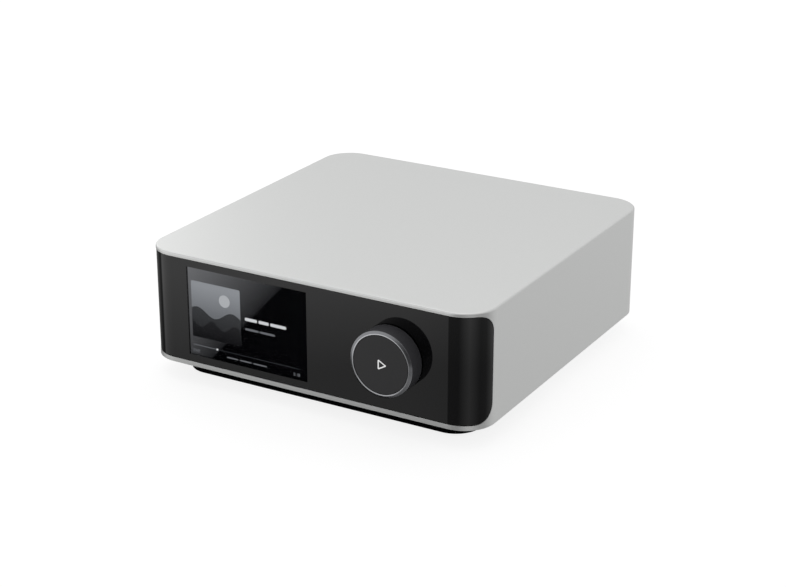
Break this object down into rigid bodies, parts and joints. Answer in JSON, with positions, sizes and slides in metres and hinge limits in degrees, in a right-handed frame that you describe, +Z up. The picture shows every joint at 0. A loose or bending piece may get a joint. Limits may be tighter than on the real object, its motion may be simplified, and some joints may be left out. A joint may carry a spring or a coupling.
{
  "type": "network music streamer",
  "caption": "Compact network music streamer: silver shell, wrapped gloss black front with colour touch display, turning volume knob with centre button, rear sockets, dark plinth.",
  "frame": {"origin": "on the resting face, under the middle of the shell", "axes": "+X to the right seen from the front, +Y from the front to the rear, +Z up"},
  "size_m": [0.2, 0.2202, 0.073],
  "materials": {
    "anodised_silver": "bead-blasted and clear anodised, satin",
    "gloss_black": "moulded and polished, high gloss",
    "cover_glass": "polished, darkened",
    "display": "display module in a metal frame",
    "zinc_steel": "zinc plated sheet",
    "black_abs": "fine textured moulding",
    "black_anodised": "black anodised, turned",
    "mark_white": "translucent white, lit from behind",
    "white_acetal": "smooth moulding",
    "black_rubber": "moulded sheet",
    "board_green": "solder mask on glass-epoxy laminate",
    "gold_plate": "gold plated brass",
    "bare_brass": "turned brass",
    "black_extrusion": "black anodised extrusion",
    "can_sleeve": "shrink sleeve on an aluminium can",
    "ferrite": "sintered, matt",
    "coil_tape": "polyester tape over copper",
    "ribbon_film": "flat ribbon cable",
    "antenna_film": "polyimide film on copper",
    "red_plastic": "moulded",
    "white_plastic": "moulded",
    "nickel_plate": "nickel plated",
    "black_screw": "black zinc plated"
  },
  "bodies": {
    "case": {"shell": "anodised_silver", "front_panel": "gloss_black", "touch_glass": "cover_glass", "lcd_module": "display", "lcd_bracket": "zinc_steel", "tray": "zinc_steel", "soc_shield": "zinc_steel", "dac_shield": "zinc_steel", "wifi_module": "zinc_steel", "knob_circlip": "zinc_steel", "hdmi_shell": "zinc_steel", "usb_shell": "zinc_steel", "lan_shell": "zinc_steel", "board_screws": "zinc_steel", "carrier_screws": "zinc_steel", "front_carrier": "black_abs", "plinth": "black_abs", "rear_panel": "black_abs", "mains_inlet": "black_abs", "rca_blocks": "black_abs", "optical_housings": "black_abs", "port_tongues": "black_abs", "lan_insert": "black_abs", "encoder_stator": "black_abs", "switch_body": "black_abs", "knob_post": "white_acetal", "rca_cores": "white_acetal", "ribbon_sockets": "white_acetal", "sole_pad": "black_rubber", "main_board": "board_green", "psu_board": "board_green", "knob_board": "board_green", "button_board": "board_green", "rca_barrels": "gold_plate", "ground_post": "gold_plate", "board_standoffs": "bare_brass", "heatsink": "black_extrusion", "psu_heatsink": "black_extrusion", "capacitors": "can_sleeve", "bulk_capacitor": "can_sleeve", "transformer_core": "ferrite", "transformer_winding": "coil_tape", "ribbon_cables": "ribbon_film", "antenna_strips": "antenna_film", "rca_collars_red": "red_plastic", "rca_collars_white": "white_plastic", "mains_pins": "nickel_plate", "ground_lock_nut": "nickel_plate", "base_screws": "black_screw", "rear_screws": "black_screw"},
    "knob": {"knob_ring": "black_anodised", "encoder_rotor": "black_abs"},
    "play_button": {"play_button": "black_anodised", "play_glyph": "mark_white", "switch_plunger": "black_abs"},
    "optical_flap_in": {"optical_flap_in": "black_abs"},
    "optical_flap_out": {"optical_flap_out": "black_abs"},
    "ground_washer": {"ground_washer": "nickel_plate"},
    "ground_nut": {"ground_nut": "gold_plate"}
  },
  "joints": [
    {"name": "knob_turn", "type": "hinge", "parent": "case", "child": "knob", "pos_m": [0.051, -0.105, 0.04225], "axis": [0, 1, 0], "continuous": true},
    {"name": "play_press", "type": "slide", "parent": "case", "child": "play_button", "axis": [0, 1, 0], "range_m": [0, 0.0005], "stiffness_N_per_m": 4000, "springref_m": -0.0003},
    {"name": "optical_in_flap", "type": "hinge", "parent": "case", "child": "optical_flap_in", "pos_m": [-0.00466, 0.0979, 0.0296], "axis": [-1, 0, 0], "range_deg": [0, 86], "stiffness_Nm_per_rad": 0.0005, "springref_deg": -17.19},
    {"name": "optical_out_flap", "type": "hinge", "parent": "case", "child": "optical_flap_out", "pos_m": [0.0067, 0.0979, 0.0296], "axis": [-1, 0, 0], "range_deg": [0, 86], "stiffness_Nm_per_rad": 0.0005, "springref_deg": -17.19},
    {"name": "washer_slide", "type": "slide", "parent": "case", "child": "ground_washer", "axis": [0, 1, 0], "range_m": [0, 0.003]},
    {"name": "nut_turn", "type": "hinge", "parent": "ground_washer", "child": "ground_nut", "pos_m": [0.074, 0.1041, 0.0313], "axis": [0, 1, 0], "range_deg": [0, 1543]}
  ],
  "couplings": [
    {"joint": "nut_turn", "follows": "washer_slide", "rad_per_m": 8976}
  ]
}
